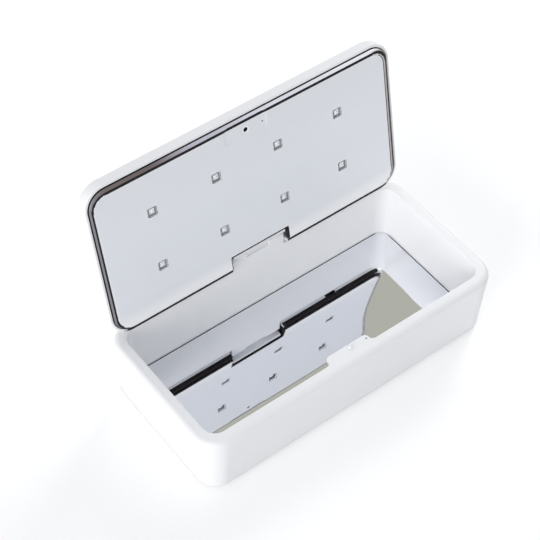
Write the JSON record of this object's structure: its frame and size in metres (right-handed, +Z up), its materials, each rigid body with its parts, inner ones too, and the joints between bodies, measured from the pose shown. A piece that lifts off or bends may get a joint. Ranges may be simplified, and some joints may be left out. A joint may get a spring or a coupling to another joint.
{
  "type": "uv sterilizing box",
  "caption": "Long rounded white box with a mirror floor and a hinged lid that holds UV LED windows in a polished tray, shown open.",
  "frame": {"origin": "middle of the flat underside of the tub; the rubber feet stand 1 mm below it", "axes": "+X along the box's length, to the right seen from the front; +Y from the front to the hinge; +Z up"},
  "size_m": [0.25, 0.1435, 0.1795],
  "materials": {
    "white_shell": "satin white ABS",
    "white_liner": "satin white ABS",
    "polished_steel": "mirror polished",
    "satin_steel": "pressed, softly polished",
    "plain_steel": "plain",
    "grey_rubber": "matte",
    "dark_board": "black solder mask",
    "green_board": "green solder mask",
    "ceramic": "white ceramic with a clear lens",
    "dark_plastic": "matte",
    "foil": "foil pouch",
    "clear_plastic": "polished, clear white",
    "nylon": "natural nylon"
  },
  "bodies": {
    "base": {"base_outer_shell": "white_shell", "inner_tub": "white_liner", "floor_mirror_plate": "polished_steel", "interlock_pin": "clear_plastic", "tab_magnet": "plain_steel", "bottom_cover": "white_shell", "hinge_pin": "plain_steel", "bottom_screw_1": "plain_steel", "bottom_screw_2": "plain_steel", "bottom_screw_3": "plain_steel", "bottom_screw_4": "plain_steel", "foot_1": "grey_rubber", "foot_2": "grey_rubber", "foot_3": "grey_rubber", "foot_4": "grey_rubber"},
    "lid": {"lid_outer_shell": "white_shell", "lid_mirror_tray": "satin_steel", "lid_hinge_arm": "white_shell", "hinge_bush_left": "nylon", "hinge_bush_right": "nylon", "led_board_front": "dark_board", "led_board_rear": "dark_board", "interlock_switch": "dark_plastic", "magnet_sensor": "dark_plastic", "button_switch": "dark_plastic", "status_light_pipe": "clear_plastic", "battery_cell_1": "foil", "battery_cell_2": "foil", "control_board": "green_board", "usb_socket": "plain_steel", "uv_led_1": "ceramic", "uv_led_2": "ceramic", "uv_led_3": "ceramic", "uv_led_4": "ceramic", "uv_led_5": "ceramic", "uv_led_6": "ceramic", "uv_led_7": "ceramic", "uv_led_8": "ceramic", "arm_screw_1": "plain_steel", "arm_screw_2": "plain_steel"},
    "start_button": {"power_button": "white_shell"},
    "switch_plunger": {"interlock_plunger": "dark_plastic"}
  },
  "joints": [
    {"name": "lid_hinge", "type": "hinge", "parent": "base", "child": "lid", "pos_m": [-0.0013, 0.0555, 0.063], "axis": [1, 0, 0], "range_deg": [0, 101.5]},
    {"name": "start_button_press", "type": "slide", "parent": "lid", "child": "start_button", "axis": [0, -0.9799, 0.1994], "range_m": [0, 0.001], "stiffness_N_per_m": 400},
    {"name": "switch_plunger_press", "type": "slide", "parent": "lid", "child": "switch_plunger", "axis": [0, 0.9799, -0.1994], "range_m": [0, 0.0012], "stiffness_N_per_m": 200}
  ]
}
